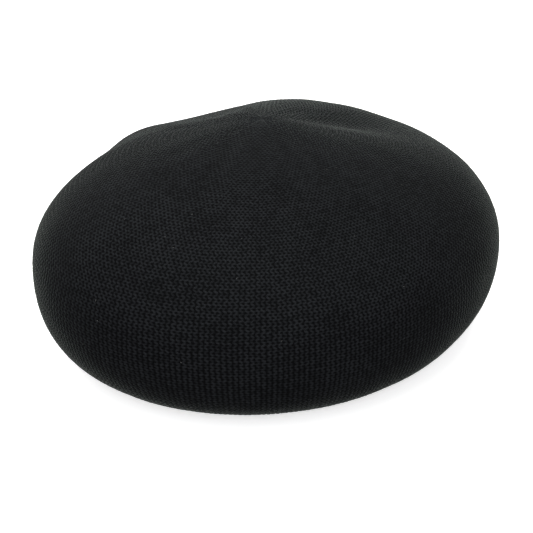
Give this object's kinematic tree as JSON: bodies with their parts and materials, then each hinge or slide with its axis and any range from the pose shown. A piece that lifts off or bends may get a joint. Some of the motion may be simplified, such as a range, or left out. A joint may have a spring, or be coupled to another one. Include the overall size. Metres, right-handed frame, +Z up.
{
  "type": "knitted beret",
  "caption": "Soft domed beret in plain black knit, full all round and gathered at the crown, with a folded elastic headband round the open underside.",
  "frame": {"origin": "on the surface the hat stands on, under the middle of its bounding box", "axes": "+Z up through the crown, -Y to the front of the hat, +X to the right seen from the front"},
  "size_m": [0.2709, 0.2668, 0.13],
  "materials": {
    "knit_black": "plain jersey knit, matt, slightly fuzzy",
    "rib_black": "rib knit, matt",
    "yarn_black": "spun yarn, matt",
    "elastic_black": "woven elastic, matt",
    "satin_black": "blank satin ribbon, soft sheen",
    "satin_white": "blank satin ribbon, soft sheen",
    "thread_black": "sewing thread"
  },
  "bodies": {
    "root": {"knit_shell": "knit_black", "headband": "rib_black", "headband_elastic": "elastic_black", "band_linking_seam": "yarn_black", "back_seam_yarn": "yarn_black", "crown_gathering_yarn": "yarn_black", "back_label": "satin_black", "back_label_upper_stitch": "thread_black", "back_label_lower_stitch": "thread_black", "size_tab": "satin_black", "care_label": "satin_white"}
  },
  "joints": []
}
